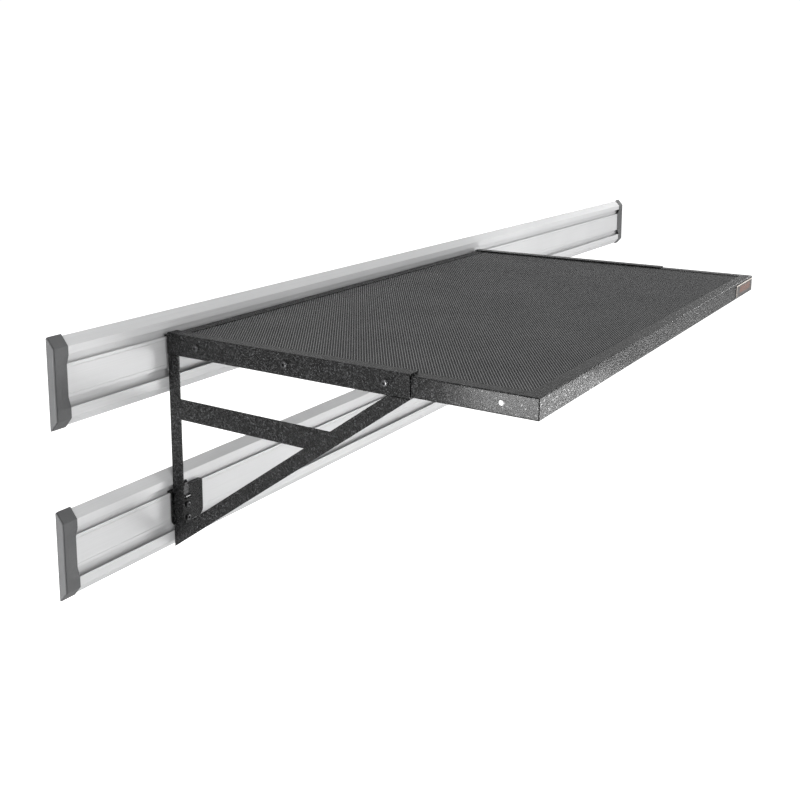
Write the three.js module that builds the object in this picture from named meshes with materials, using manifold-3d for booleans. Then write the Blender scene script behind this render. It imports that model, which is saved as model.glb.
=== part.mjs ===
// A wall shelf: a folded steel tray with a patterned deck, bolted into two triangular side
// brackets that hook onto two horizontal slotted wall rails and slide along them.
// Millimetres, +Z up. The wall is the plane y = 0, the shelf stands out towards -Y, and the
// origin is the middle of the upper rail's back face.
import * as THREE from "three";
import { mergeVertices } from "three/addons/utils/BufferGeometryUtils.js";
import Module from "manifold-3d";

const wasm = await Module();
wasm.setup();

const GAP = 0.3; // between pieces that touch
const PAST = 1; // how far a cutting tool runs past the body it cuts
const CURVE = 5; // steps in a rounded corner

// Wall rails. Heights in the section are measured down from the rail's top edge.
const RAIL = {
  length: 2504, // over the end caps
  height: 152.4,
  depth: 14.3, // wall to the front of the two beads
  wall: 2,
  panelDepth: 8.6, // wall to the front of the recessed centre panel
  chamfer: 16.5,
  upperBeadEnd: 30,
  panelStart: 46.4,
  panelEnd: 104,
  lowerBeadStart: 119,
  lipHeight: 4, // upstand in front of the hook groove
  web: 4,
  coverLedge: 2,
};
const RAIL_PITCH = 294.2;
const WALL_SCREWS = { count: 5, spacing: 609.6, headRadius: 4.5, headHeight: 3, shankRadius: 2.2 };
const CROSS_SLOT = { length: 5, width: 1, depth: 1.8 };
const CAP = {
  length: 31,
  end: 4, // thickness of the end wall
  skin: 1.2,
  straight: 12, // how far in from the end the front stays flat
  panelDepth: 10.6,
  blend: 16,
};

// Shelf. Its own group has x from the left bracket's outer face, y = 0 at the brackets' back
// edge and z = 0 at their top.
const SHELF = { width: 1176, left: -1003, back: -14.8, top: 39 };
const CHANNEL = { length: 514, height: 40.4, sheet: 2.5, lip: 25 };
const TRAY = { front: 730, back: 2, height: 34.8, sheet: 1.5, border: 25, hem: 14 };
const DECK = { sheet: 1.8, underLip: 11 };
const STIFFENER = { width: 30, height: 22, sheet: 1.5, from: 184, spacing: 182, count: 3 };
const LABEL = { left: 1038, right: 1168, bottom: -33, top: -7, thickness: 0.8 };
const BOLT = { first: 70, pitch: 199.5, count: 3, z: -20, shank: 4, head: 7, headHeight: 4, end: 13 };
const NUT = { acrossFlats: 13, height: 6 };
const HOLE = { clearance: 0.4, free: 4.2 };
// A button head's profile, as shares of its radius and height.
const BUTTON = { crown: 0.62, shoulder: 0.9, shoulderHeight: 0.55, rimHeight: 0.1, socket: 0.42 };

// Bracket frame: flat bars in one plane under the channel.
const FRAME = { outer: 1.5, bar: 3, upright: 25, tip: 406.5, brace: 38, braceTop: 120.5, diagonal: 25 };
const UPRIGHT_LEG = { width: 24, thickness: 3, footWidth: 46, footTop: 324, footBottom: 372 };

// Hooks on the back of the brackets.
const HOOK = { sheet: 3, front: 0.3, reach: 11.5, turnDown: 3.2, turnSheet: 2.9 };
const LOWER_HOOK = { left: -2, right: 78, height: 66, corner: 14, boltX: 34, boltZ: [335, 360] };
const UPPER_HOOK = { left: 5, right: 24, bottom: 79, corner: 4, boltX: 14, boltZ: [54, 69] };
const HOOK_BOLT = { shank: 3, head: 6, headHeight: 3.6, short: 0.5 };
const LATCH = { left: 27, right: 39, pivotDrop: 15, pivotY: -3.6, barrel: 3, pin: 1.5, leaf: 2, bore: 0.05 };
// The latch's pointed nose. Its depth is measured back from the hook's front face.
const NOSE = { inset: 2, foot: 0.6, headroom: 1.2, slope: 4, point: 0.3, depth: 2.2 };
const EAR = { thickness: 1.8, radius: 3, root: 1, pinEnd: 0.6, boreMargin: 10 };

const hammertone = new THREE.MeshStandardMaterial({ color: 0x45474a, roughness: 0.42, metalness: 0.55 });
const deckPaint = new THREE.MeshStandardMaterial({ color: 0x4d4f51, roughness: 0.6, metalness: 0.3 });
const silver = new THREE.MeshStandardMaterial({ color: 0xd2d3d4, roughness: 0.38, metalness: 0.6 });
const greyPlastic = new THREE.MeshStandardMaterial({ color: 0x626364, roughness: 0.55, metalness: 0 });
const blackSteel = new THREE.MeshStandardMaterial({ color: 0x232425, roughness: 0.3, metalness: 0.8 });
const zinc = new THREE.MeshStandardMaterial({ color: 0xb9bcc0, roughness: 0.35, metalness: 0.9 });
const labelFoil = new THREE.MeshStandardMaterial({ color: 0x5a5552, roughness: 0.5, metalness: 0.2 });

// ---- helpers --------------------------------------------------------------------------------

function solid(geometry) {
  const bare = geometry.clone();
  bare.deleteAttribute("normal");
  bare.deleteAttribute("uv");
  const merged = mergeVertices(bare, 1e-4);
  return new wasm.Manifold(
    new wasm.Mesh({
      numProp: 3,
      vertProperties: new Float32Array(merged.attributes.position.array),
      triVerts: new Uint32Array(merged.index.array),
    }),
  );
}

function geometryOf(manifold) {
  const mesh = manifold.getMesh();
  const geometry = new THREE.BufferGeometry();
  geometry.setAttribute("position", new THREE.BufferAttribute(mesh.vertProperties, 3));
  geometry.setIndex(new THREE.BufferAttribute(mesh.triVerts, 1));
  const flat = geometry.toNonIndexed();
  flat.computeVertexNormals();
  return flat;
}

function cut(geometry, ...tools) {
  return geometryOf(tools.reduce((body, tool) => body.subtract(solid(tool)), solid(geometry)));
}

function join(...geometries) {
  return geometryOf(geometries.map(solid).reduce((body, piece) => body.add(piece)));
}

function box([x0, x1], [y0, y1], [z0, z1]) {
  const geometry = new THREE.BoxGeometry(x1 - x0, y1 - y0, z1 - z0);
  return geometry.translate((x0 + x1) / 2, (y0 + y1) / 2, (z0 + z1) / 2);
}

function shapeOf(points) {
  return new THREE.Shape(points.map(([a, b]) => new THREE.Vector2(a, b)));
}

// An outline in the YZ plane, from x0 to x1.
function alongX(shape, x0, x1) {
  const settings = { depth: x1 - x0, bevelEnabled: false, curveSegments: CURVE };
  const geometry = new THREE.ExtrudeGeometry(shape, settings);
  const basis = new THREE.Matrix4().makeBasis(
    new THREE.Vector3(0, 1, 0),
    new THREE.Vector3(0, 0, 1),
    new THREE.Vector3(1, 0, 0),
  );
  return geometry.applyMatrix4(basis).translate(x0, 0, 0);
}

// An outline in the XZ plane, from y0 back to y1.
function alongY(shape, y0, y1) {
  const settings = { depth: y1 - y0, bevelEnabled: false, curveSegments: CURVE };
  const geometry = new THREE.ExtrudeGeometry(shape, settings);
  const basis = new THREE.Matrix4().makeBasis(
    new THREE.Vector3(1, 0, 0),
    new THREE.Vector3(0, 0, 1),
    new THREE.Vector3(0, -1, 0),
  );
  return geometry.applyMatrix4(basis).translate(0, y1, 0);
}

function rodX(radius, x0, x1, y, z, sides = 16) {
  const rod = new THREE.CylinderGeometry(radius, radius, x1 - x0, sides);
  return rod.rotateZ(Math.PI / 2).translate((x0 + x1) / 2, y, z);
}

function rodY(radius, y0, y1, x, z, sides = 16) {
  return new THREE.CylinderGeometry(radius, radius, y1 - y0, sides).translate(x, (y0 + y1) / 2, z);
}

function mesh(name, geometry, material) {
  const made = new THREE.Mesh(geometry, material);
  made.name = name;
  return made;
}

// A button-head bolt along +Y from its own origin, which is the underside of the head. The
// domed head stands out towards -Y, with a hexagon socket.
function buttonBolt(shank, head, headHeight, length) {
  const { crown, shoulder, shoulderHeight, rimHeight, socket } = BUTTON;
  const profile = [[0, -headHeight], [head * crown, -headHeight],
    [head * shoulder, -headHeight * shoulderHeight], [head, -headHeight * rimHeight], [head, 0],
    [shank, 0], [shank, length], [0, length]];
  const body = new THREE.LatheGeometry(profile.map(([r, y]) => new THREE.Vector2(r, y)), 16);
  const hexagon = new THREE.CylinderGeometry(head * socket, head * socket, headHeight, 6);
  return cut(body, hexagon.translate(0, -headHeight, 0));
}

// A hexagon nut on the Y axis, from y = 0 to its height.
function hexNut(acrossFlats, height, bore) {
  const outer = new THREE.CylinderGeometry(acrossFlats / Math.sqrt(3), acrossFlats / Math.sqrt(3), height, 6);
  const hole = new THREE.CylinderGeometry(bore, bore, height * 2, 16);
  return cut(outer, hole).translate(0, height / 2, 0);
}

// ---- wall rails -----------------------------------------------------------------------------

const railEnd = RAIL.length / 2 - CAP.end - GAP;

// The section's points are [distance from the wall, distance down from the top edge].
function railSection() {
  const { height, depth, wall, panelDepth, chamfer, upperBeadEnd, panelStart, panelEnd } = RAIL;
  const { lowerBeadStart, lipHeight, web, coverLedge } = RAIL;
  const inner = depth - wall;
  const slope = chamfer / depth;
  const lip = panelDepth - wall;
  const crown = (wall * Math.hypot(chamfer, depth)) / depth;
  const underTop = wall * slope + crown;
  const innerChamfer = inner * slope + crown;
  const upperWeb = panelStart + lipHeight;
  const lowerWeb = panelEnd - lipHeight;
  return [
    [0, 0], [depth, chamfer], [depth, upperBeadEnd], [inner, upperBeadEnd], [inner, innerChamfer],
    [wall, underTop], [wall, upperWeb], [lip, upperWeb], [lip, panelStart], [panelDepth, panelStart],
    [panelDepth, upperWeb + coverLedge], [lip, upperWeb + coverLedge], [lip, upperWeb + web],
    [wall, upperWeb + web], [wall, lowerWeb - web], [lip, lowerWeb - web],
    [lip, lowerWeb - coverLedge], [panelDepth, lowerWeb - coverLedge], [panelDepth, panelEnd],
    [lip, panelEnd], [lip, lowerWeb], [wall, lowerWeb], [wall, height - underTop],
    [inner, height - innerChamfer], [inner, lowerBeadStart], [depth, lowerBeadStart],
    [depth, height - chamfer], [0, height],
  ];
}

// Section points to the YZ plane of a rail whose centre is at z = 0.
function railShape(points) {
  return shapeOf(points.map(([out, down]) => [-out, RAIL.height / 2 - down]));
}

function wallScrewPlaces() {
  const first = -((WALL_SCREWS.count - 1) * WALL_SCREWS.spacing) / 2;
  return Array.from({ length: WALL_SCREWS.count }, (_, i) => first + i * WALL_SCREWS.spacing);
}

const screwHeight = RAIL.height / 2 - (RAIL.panelStart + RAIL.panelEnd) / 2;

function railBody() {
  const bar = alongX(railShape(railSection()), -railEnd, railEnd);
  const radius = WALL_SCREWS.shankRadius + GAP;
  const holes = wallScrewPlaces().map((x) => rodY(radius, -RAIL.wall - PAST, PAST, x, screwHeight, 12));
  return cut(bar, ...holes);
}

// The strip that snaps in flush between the two ledges and covers the wall screws.
function railCover() {
  const top = RAIL.panelStart + RAIL.lipHeight + RAIL.coverLedge + GAP;
  const bottom = RAIL.panelEnd - RAIL.lipHeight - RAIL.coverLedge - GAP;
  const back = RAIL.panelDepth - RAIL.wall + GAP;
  const z = (down) => RAIL.height / 2 - down;
  return box([-railEnd, railEnd], [-RAIL.panelDepth, -back], [z(bottom), z(top)]);
}

// The part of a wall screw in front of the wall: pan head and shank, with a cross slot.
function wallScrew() {
  const { headRadius, headHeight, shankRadius } = WALL_SCREWS;
  const profile = [[0, -headHeight], [headRadius * BUTTON.crown, -headHeight],
    [headRadius, -headHeight * BUTTON.shoulderHeight], [headRadius, 0], [shankRadius, 0],
    [shankRadius, RAIL.wall], [0, RAIL.wall]];
  const body = new THREE.LatheGeometry(profile.map(([r, y]) => new THREE.Vector2(r, y)), 12);
  const y = [-headHeight - PAST, -headHeight + CROSS_SLOT.depth];
  const half = [-CROSS_SLOT.length / 2, CROSS_SLOT.length / 2];
  const thin = [-CROSS_SLOT.width / 2, CROSS_SLOT.width / 2];
  return cut(body, box(half, y, thin), box(thin, y, half));
}

// The cap's outside follows the two beads and the recessed panel between them.
function capOutline(grow, panelDepth) {
  const { height, depth, chamfer, upperBeadEnd, panelEnd, lowerBeadStart } = RAIL;
  const front = depth + grow;
  const rise = (grow * Math.hypot(chamfer, depth)) / depth;
  const corner = (front * chamfer) / depth - rise;
  return [[0, -rise], [front, corner], [front, upperBeadEnd + grow],
    [panelDepth, upperBeadEnd + CAP.blend + grow], [panelDepth, panelEnd - grow],
    [front, lowerBeadStart - grow], [front, height - corner], [0, height + rise]];
}

// A cap for the left end of a rail: a sleeve over the rail's end, closed outside.
function endCap() {
  const left = -RAIL.length / 2;
  const grow = CAP.skin + GAP;
  const sleeve = alongX(railShape(capOutline(grow, CAP.panelDepth)), left, left + CAP.length);
  const head = alongX(railShape(capOutline(grow, RAIL.depth + grow)), left, left + CAP.straight);
  const inside = capOutline(GAP, RAIL.panelDepth + GAP);
  inside.unshift([-PAST, inside[0][1]]);
  inside.push([-PAST, inside[inside.length - 1][1]]);
  return cut(join(sleeve, head), alongX(railShape(inside), left + CAP.end, left + CAP.length + PAST));
}

function makeRail(prefix, z) {
  const rail = new THREE.Group();
  rail.position.z = z;
  rail.add(mesh(prefix + "_rail", railBody(), silver));
  rail.add(mesh(prefix + "_rail_cover_strip", railCover(), silver));
  wallScrewPlaces().forEach((x, i) => {
    const screw = mesh(prefix + "_wall_screw_" + (i + 1), wallScrew(), zinc);
    screw.position.set(x, -RAIL.wall - GAP, screwHeight);
    rail.add(screw);
  });
  rail.add(mesh(prefix + "_left_end_cap", endCap(), greyPlastic));
  const mirrored = new THREE.Group();
  mirrored.scale.x = -1;
  mirrored.add(mesh(prefix + "_right_end_cap", endCap(), greyPlastic));
  rail.add(mirrored);
  return rail;
}

// ---- shelf tray -----------------------------------------------------------------------------

const traySide = CHANNEL.sheet + GAP;
const trayTop = -CHANNEL.sheet - GAP;
const trayBottom = trayTop - TRAY.height;

function boltPlaces() {
  return Array.from({ length: BOLT.count + 1 }, (_, i) => -(BOLT.first + i * BOLT.pitch));
}

// A pan folded from sheet: border and four flanges, each flange with a hem turned in.
function trayFrame() {
  const x = (inset) => [traySide + inset, SHELF.width - traySide - inset];
  const y = (inset) => [-TRAY.front + inset, -TRAY.back - inset];
  const { sheet, border, hem } = TRAY;
  const block = box(x(0), y(0), [trayBottom, trayTop]);
  const hollow = box(x(sheet), y(sheet), [trayBottom + sheet, trayTop - sheet]);
  const mouth = box(x(hem), y(hem), [trayBottom - PAST, trayBottom + sheet + PAST]);
  const window = box(x(border), y(border), [trayTop - sheet - PAST, trayTop + PAST]);
  const sides = [[0, traySide * 2], [SHELF.width - traySide * 2, SHELF.width]];
  const holes = sides.flatMap(([x0, x1]) =>
    boltPlaces().map((place, i) => {
      const radius = i < BOLT.count ? BOLT.shank + HOLE.clearance : HOLE.free;
      return rodX(radius, x0, x1, place, BOLT.z);
    }),
  );
  return cut(block, hollow, mouth, window, ...holes);
}

// The deck lies under the border's edge all round.
function deckPanel() {
  const inset = TRAY.border - DECK.underLip;
  const top = trayTop - TRAY.sheet - GAP;
  return box(
    [traySide + inset, SHELF.width - traySide - inset],
    [-TRAY.front + inset, -TRAY.back - inset],
    [top - DECK.sheet, top],
  );
}

// A channel open downwards, from one side flange to the other.
function stiffener(y) {
  const top = trayTop - TRAY.sheet - DECK.sheet - 2 * GAP;
  const x = [traySide + TRAY.sheet + GAP, SHELF.width - traySide - TRAY.sheet - GAP];
  const half = STIFFENER.width / 2;
  const outer = box(x, [y - half, y + half], [top - STIFFENER.height, top]);
  const groove = box(
    [x[0] - PAST, x[1] + PAST],
    [y - half + STIFFENER.sheet, y + half - STIFFENER.sheet],
    [top - STIFFENER.height - PAST, top - STIFFENER.sheet],
  );
  return cut(outer, groove);
}

function labelPlate() {
  const face = -TRAY.front - GAP;
  return box([LABEL.left, LABEL.right], [face - LABEL.thickness, face], [LABEL.bottom, LABEL.top]);
}

// ---- brackets, as the left one ----------------------------------------------------------------

function sideChannel() {
  const { length, height, sheet, lip } = CHANNEL;
  const outer = box([0, lip], [-length, 0], [-height, 0]);
  const groove = box([sheet, lip + PAST], [-length - PAST, PAST], [-height + sheet, -sheet]);
  const holes = boltPlaces()
    .slice(0, BOLT.count)
    .map((y) => rodX(BOLT.shank + HOLE.clearance, -PAST, sheet + PAST, y, BOLT.z));
  return cut(outer, groove, ...holes);
}

const frameTop = -CHANNEL.height - GAP;
const diagonalSlope = (FRAME.tip - CHANNEL.height) / CHANNEL.length;
const diagonalRise = FRAME.diagonal * Math.hypot(1, diagonalSlope);
// Height of the diagonal's lower edge a distance out from the wall side.
const lowerEdge = (out) => -FRAME.tip + out * diagonalSlope;
// Distance out at which a line above the lower edge reaches a height.
const outAt = (z, above) => (z + FRAME.tip - above) / diagonalSlope;

function barX() {
  return [FRAME.outer, FRAME.outer + FRAME.bar];
}

// An angle: the outer leg seen from the side and a leg along the wall that carries the hooks.
function upright() {
  const outline = [[0, frameTop], [-FRAME.upright, frameTop], [-FRAME.upright, lowerEdge(FRAME.upright)],
    [0, -FRAME.tip]];
  const [x0, x1] = barX();
  const leg = UPRIGHT_LEG;
  const outerLeg = alongX(shapeOf(outline), x0, x1);
  const innerLeg = box([x0, leg.width], [-leg.thickness, 0], [-leg.footBottom, frameTop]);
  const foot = box([x0, leg.footWidth], [-leg.thickness, 0], [-leg.footBottom, -leg.footTop]);
  const angle = join(outerLeg, innerLeg, foot);
  const radius = HOOK_BOLT.shank + HOLE.clearance;
  const holes = [LOWER_HOOK, UPPER_HOOK].flatMap(({ boltX, boltZ }) =>
    boltZ.map((z) => rodY(radius, -leg.thickness - PAST, PAST, boltX, -z)),
  );
  return cut(angle, ...holes);
}

function diagonalBrace() {
  const start = FRAME.upright + GAP;
  const outline = [
    [-start, lowerEdge(start)],
    [-start, lowerEdge(start) + diagonalRise],
    [-outAt(frameTop, diagonalRise), frameTop],
    [-outAt(frameTop, 0), frameTop],
  ];
  return alongX(shapeOf(outline), ...barX());
}

function crossBrace() {
  const top = -FRAME.braceTop;
  const bottom = top - FRAME.brace;
  const clear = diagonalRise + GAP * 1.3;
  const start = FRAME.upright + GAP;
  const outline = [
    [-start, top],
    [-outAt(top, clear), top],
    [-outAt(bottom, clear), bottom],
    [-start, bottom],
  ];
  return alongX(shapeOf(outline), ...barX());
}

// ---- hooks ------------------------------------------------------------------------------------

// Top of a rail's panel lip in the shelf's frame, for the upper rail and the lower one.
const upperLip = RAIL.height / 2 - RAIL.panelStart - SHELF.top;
const lowerLip = upperLip - RAIL_PITCH;
const hookBack = HOOK.front + HOOK.sheet;

// The lip that passes over the rail's edge and turns down into its groove.
function hookLip(x, edge) {
  const under = edge + GAP;
  const over = box(x, [HOOK.front, HOOK.reach], [under, under + HOOK.sheet]);
  const turn = box(x, [HOOK.reach - HOOK.turnSheet, HOOK.reach], [edge - HOOK.turnDown, under + PAST]);
  return join(over, turn);
}

function plateShape(left, right, bottom, top, corner) {
  const shape = new THREE.Shape();
  shape.moveTo(left, top);
  shape.lineTo(left, bottom + corner);
  shape.absarc(left + corner, bottom + corner, corner, Math.PI, Math.PI * 1.5);
  shape.lineTo(right - corner, bottom);
  shape.absarc(right - corner, bottom + corner, corner, -Math.PI / 2, 0);
  shape.lineTo(right, top);
  return shape;
}

const pivotZ = lowerLip - LATCH.pivotDrop;

// One of the two ears that hold the latch pin, bent out of the hook plate.
function latchEar(x0) {
  const x = [x0, x0 + EAR.thickness];
  const strap = box(x, [LATCH.pivotY, HOOK.front + EAR.root], [pivotZ - EAR.radius, pivotZ + EAR.radius]);
  return join(strap, rodX(EAR.radius, ...x, LATCH.pivotY, pivotZ, 12));
}

function hookBoltHoles({ boltX, boltZ }) {
  return boltZ.map((z) => rodY(HOOK_BOLT.shank + GAP, -PAST, hookBack + PAST, boltX, -z));
}

function lowerHook() {
  const { left, right, height, corner } = LOWER_HOOK;
  const top = lowerLip + GAP + HOOK.sheet;
  const plate = alongY(plateShape(left, right, lowerLip - height, top, corner), HOOK.front, hookBack);
  const earLeft = latchEar(LATCH.left - GAP - EAR.thickness);
  const earRight = latchEar(LATCH.right + GAP);
  const hook = join(plate, hookLip([left, right], lowerLip), earLeft, earRight);
  const x = [LATCH.left - EAR.boreMargin, LATCH.right + EAR.boreMargin];
  const pin = rodX(LATCH.pin + GAP, ...x, LATCH.pivotY, pivotZ, 12);
  return cut(hook, ...hookBoltHoles(LOWER_HOOK), pin);
}

function upperHook() {
  const { left, right, bottom, corner } = UPPER_HOOK;
  const top = upperLip + GAP + HOOK.sheet;
  const plate = alongY(plateShape(left, right, -bottom, top, corner), HOOK.front, hookBack);
  const hook = join(plate, hookLip([left, right], upperLip));
  return cut(hook, ...hookBoltHoles(UPPER_HOOK));
}

// The latch leaf turns on the pin. Its pointed nose fills the slot above the hook's lip, so
// the hook can't lift out until the nose is pulled forward.
function hookLatch() {
  const { left, right, pivotY, barrel, leaf } = LATCH;
  const back = HOOK.front - GAP;
  const foot = lowerLip + GAP + HOOK.sheet + NOSE.foot;
  const top = lowerLip + RAIL.panelStart - RAIL.upperBeadEnd - NOSE.headroom;
  const knuckle = rodX(barrel, left, right, pivotY, pivotZ, 16);
  const plate = box([left, right], [back - leaf, back], [pivotZ, foot + PAST]);
  const side = [[back - leaf, foot], [back - leaf, top - NOSE.slope], [HOOK.front + NOSE.point, top],
    [HOOK.front + NOSE.depth, top], [HOOK.front + NOSE.depth, foot]];
  const nose = alongX(shapeOf(side), left + NOSE.inset, right - NOSE.inset);
  const bore = rodX(LATCH.pin + LATCH.bore, left - PAST, right + PAST, pivotY, pivotZ, 24);
  return cut(join(knuckle, plate, nose), bore);
}

function latchPin() {
  const overhang = GAP + EAR.thickness + EAR.pinEnd;
  return rodX(LATCH.pin, LATCH.left - overhang, LATCH.right + overhang, LATCH.pivotY, pivotZ, 24);
}

// ---- assembly ---------------------------------------------------------------------------------

function addTrayBolts(side, prefix) {
  boltPlaces().slice(0, BOLT.count).forEach((y, i) => {
    const bolt = buttonBolt(BOLT.shank, BOLT.head, BOLT.headHeight, BOLT.end).rotateZ(-Math.PI / 2);
    const boltMesh = mesh(`${prefix}_tray_bolt_${i + 1}`, bolt, blackSteel);
    boltMesh.position.set(-GAP, y, BOLT.z);
    const nut = hexNut(NUT.acrossFlats, NUT.height, BOLT.shank + GAP).rotateZ(-Math.PI / 2);
    const nutMesh = mesh(`${prefix}_tray_nut_${i + 1}`, nut, zinc);
    nutMesh.position.set(traySide + TRAY.sheet + GAP, y, BOLT.z);
    side.add(boltMesh, nutMesh);
  });
}

function addHookBolts(side, prefix, place, x, heights) {
  heights.forEach((z, i) => {
    const length = UPRIGHT_LEG.thickness + hookBack + GAP - HOOK_BOLT.short;
    const bolt = buttonBolt(HOOK_BOLT.shank, HOOK_BOLT.head, HOOK_BOLT.headHeight, length);
    const boltMesh = mesh(`${prefix}_${place}_hook_bolt_${i + 1}`, bolt, blackSteel);
    boltMesh.position.set(x, -UPRIGHT_LEG.thickness - GAP, -z);
    side.add(boltMesh);
  });
}

function makeBracket(prefix) {
  const side = new THREE.Group();
  side.add(mesh(prefix + "_side_channel", sideChannel(), hammertone));
  side.add(mesh(prefix + "_upright", upright(), hammertone));
  side.add(mesh(prefix + "_diagonal_brace", diagonalBrace(), hammertone));
  side.add(mesh(prefix + "_cross_brace", crossBrace(), hammertone));
  side.add(mesh(prefix + "_lower_hook", lowerHook(), hammertone));
  side.add(mesh(prefix + "_upper_hook", upperHook(), hammertone));
  side.add(mesh(prefix + "_hook_latch", hookLatch(), blackSteel));
  side.add(mesh(prefix + "_latch_pin", latchPin(), zinc));
  addTrayBolts(side, prefix);
  addHookBolts(side, prefix, "lower", LOWER_HOOK.boltX, LOWER_HOOK.boltZ);
  addHookBolts(side, prefix, "upper", UPPER_HOOK.boltX, UPPER_HOOK.boltZ);
  return side;
}

function makeShelf() {
  const shelf = new THREE.Group();
  shelf.position.set(SHELF.left, SHELF.back, SHELF.top);
  shelf.add(mesh("tray_frame", trayFrame(), hammertone));
  shelf.add(mesh("deck_panel", deckPanel(), deckPaint));
  for (let i = 0; i < STIFFENER.count; i += 1) {
    const y = -(STIFFENER.from + i * STIFFENER.spacing);
    shelf.add(mesh(`deck_stiffener_${i + 1}`, stiffener(y), hammertone));
  }
  shelf.add(mesh("blank_label_plate", labelPlate(), labelFoil));
  shelf.add(makeBracket("left"));
  const right = makeBracket("right");
  right.position.x = SHELF.width;
  right.scale.x = -1;
  shelf.add(right);
  return shelf;
}

const assembly = new THREE.Group();
assembly.add(makeRail("upper", 0));
assembly.add(makeRail("lower", -RAIL_PITCH));
assembly.add(makeShelf());

export default assembly;
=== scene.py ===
"""A wall shelf on two slotted rails: a hammertone steel tray with a patterned deck in two
triangular brackets, which hook onto silver wall rails with grey plastic end caps.

Shapes are written in millimetres, in the frame's axes, and each is placed from the boxes of the
CAD nodes that it stands for. Textures, lamps, floor and camera are in metres.
"""
import math

import bmesh
import bpy
from mathutils import Matrix, Vector


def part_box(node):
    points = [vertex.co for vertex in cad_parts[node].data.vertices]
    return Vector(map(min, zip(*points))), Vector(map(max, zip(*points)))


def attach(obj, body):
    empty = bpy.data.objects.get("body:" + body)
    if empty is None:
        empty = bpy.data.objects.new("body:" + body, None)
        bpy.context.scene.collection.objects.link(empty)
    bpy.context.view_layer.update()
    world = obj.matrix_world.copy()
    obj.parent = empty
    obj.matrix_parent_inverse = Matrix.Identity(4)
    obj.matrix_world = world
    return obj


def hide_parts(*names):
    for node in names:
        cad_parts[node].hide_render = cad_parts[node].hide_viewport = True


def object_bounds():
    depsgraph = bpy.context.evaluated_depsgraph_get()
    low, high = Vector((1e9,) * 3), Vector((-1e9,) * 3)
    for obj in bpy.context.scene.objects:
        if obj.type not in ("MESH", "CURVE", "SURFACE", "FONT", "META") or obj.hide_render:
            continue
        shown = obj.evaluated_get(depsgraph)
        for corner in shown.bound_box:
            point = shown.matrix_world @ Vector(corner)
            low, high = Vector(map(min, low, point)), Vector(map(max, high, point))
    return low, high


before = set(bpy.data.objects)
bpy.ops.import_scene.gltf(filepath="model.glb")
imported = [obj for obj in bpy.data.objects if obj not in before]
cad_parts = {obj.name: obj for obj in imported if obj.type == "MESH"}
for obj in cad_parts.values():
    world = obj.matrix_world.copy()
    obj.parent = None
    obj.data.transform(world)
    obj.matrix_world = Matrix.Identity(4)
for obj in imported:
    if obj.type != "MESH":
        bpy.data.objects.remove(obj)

cad_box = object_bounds()

MM = 0.001
TURN = 2 * math.pi
PAST = 1.0  # how far a cutting tool runs past what it cuts
REACH = 3.0  # how far a hole's cutting tool reaches to each side of a sheet's outer face
CUT_EDGE = 0.4  # rounding of a sheet's cut edge
INNER_BEND = 0.3  # how much rounder a bend's inside is than its outside less the sheet
MOST_OF_SIDE = 0.48  # the most of a side that the rounding of one corner may take
SMOOTH_ANGLE = math.radians(35)
SAME_PLACE = 0.002  # vertices closer than this are one

# Wall rails. A section point is (distance from the wall, distance down from the top edge, radius).
RAIL_DEPTH = 14.3
RAIL_HEIGHT = 152.4
RAIL_WALL = 2.0
PANEL_DEPTH = 8.6
CHAMFER = 16.5
UPPER_BEAD_END = 30.0
LOWER_BEAD_START = 119.0
PANEL_START = 46.4
PANEL_END = 104.0
LIP_HEIGHT = 4.0
WEB = 4.0
LEDGE = 2.0
BEAD_RADIUS = 1.3
LIP_RADIUS = 0.45
SCREW_HOLE = 2.5
SCREWS_A_RAIL = 5

CAP_LENGTH = 31.0
CAP_END = 4.0
CAP_SKIN = 1.5
CAP_GAP = 0.3
CAP_PANEL_DEPTH = 10.6
CAP_BLEND = 16.0
CAP_ROUND = 2.2
CAP_GROOVE = (1.2, 0.8)  # width and depth of the groove round the end face
CAP_MOUTH = 0.4  # chamfer round the mouth
CAP_FLAT = RAIL_DEPTH + CAP_SKIN - 0.2  # how far out the front is at the end face
CAP_CORNER = 2.0
BORE_CORNER = 1.2
CAP_STRAIGHT = 10.0  # how far in from its end the cap's front is flat
BLEND_STEPS = 6
ROUND_STEPS = 5

# Shelf.
TRAY_SHEET = 1.5
TRAY_BORDER = 25.0
TRAY_HEM = 14.0
TRAY_BEND = 2.0
TRAY_CORNER = 1.6
CORNER_SEAM = (0.6, 0.8)  # width and depth of the folded corner's seam
CHANNEL_SHEET = 2.5
CHANNEL_BEND = 3.0
CHANNEL_EDGE = 0.8  # easing of its cut ends and holes
BOLT_HOLE = 4.4
FREE_HOLE = 4.2
BOLT_Z = -20.0

# Deck: a closed sheet with diamond pockets between crossing strands.
CELL_X = 7.7
CELL_Y = 5.4
STRAND = 0.9
DECK_BACK = 0.5  # the solid sheet left under the pockets
DECK_STRIPS = 5
DECK_OVERLAP = 4.0  # how far the pockets run on under the tray's border
MARGIN_PROUD = 0.02  # how far the plain margin stands over the pocketed sheet it overlaps

LABEL_BASE = 0.45
LABEL_RIM = 2.4
LABEL_PRINT = (0.2, 0.86, 0.22, 0.8)  # left, right, bottom and top of the ruled lines, as shares
LABEL_LINES = 4
LINE_SPAN = (0.2, 0.8)  # lower and upper edge of a ruled line, as shares of the lines' spacing
LINE_SUNK = 0.15  # how far the lines lie below the rim
LABEL_CORNER = 0.5
LABEL_EDGE = 0.1
RIM_CORNER = 0.3

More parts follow.
